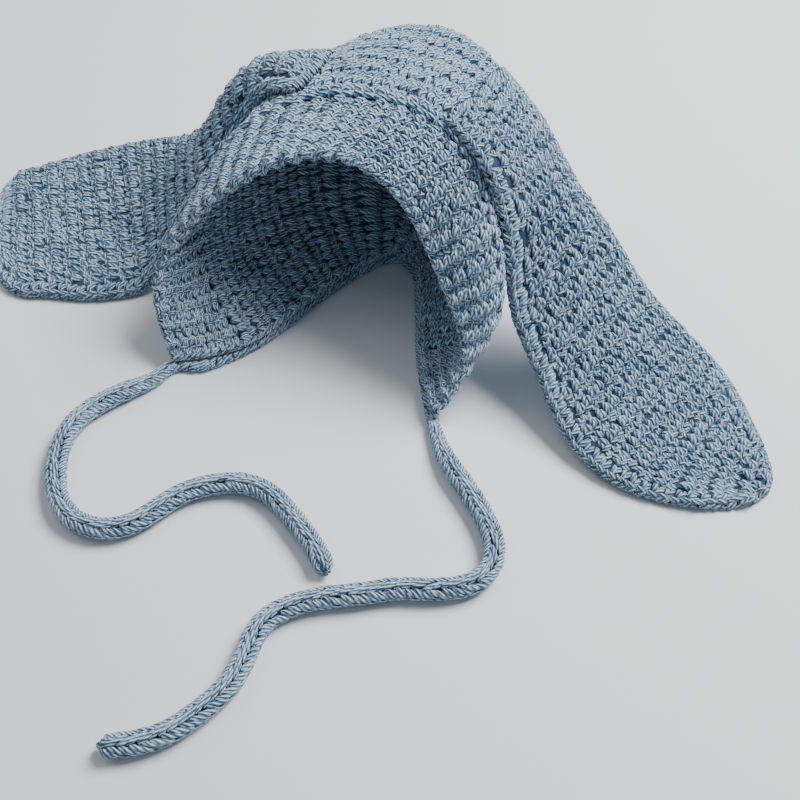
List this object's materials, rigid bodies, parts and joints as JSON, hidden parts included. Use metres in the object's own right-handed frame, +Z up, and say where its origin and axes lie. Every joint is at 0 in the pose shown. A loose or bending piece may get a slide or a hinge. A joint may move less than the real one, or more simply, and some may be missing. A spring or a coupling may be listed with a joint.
{
  "type": "crochet bonnet",
  "caption": "Crocheted baby bonnet with ribbed brim, long drooping bunny ears and cord ties, standing open on its neck edge.",
  "frame": {"origin": "on the surface under the middle of the outline, ties left out", "axes": "-Y out of the face opening, +X to the right as seen from the front, +Z up"},
  "size_m": [0.5072, 0.425, 0.1267],
  "materials": {
    "brim_yarn": "matte",
    "crown_yarn": "matte",
    "edging_yarn": "matte",
    "ear_yarn": "matte",
    "tie_yarn": "matte"
  },
  "bodies": {
    "root": {"brim": "brim_yarn", "crown": "crown_yarn", "neck_edging": "edging_yarn", "ear_left": "ear_yarn", "ear_right": "ear_yarn", "tie_left": "tie_yarn", "tie_right": "tie_yarn"}
  },
  "joints": []
}
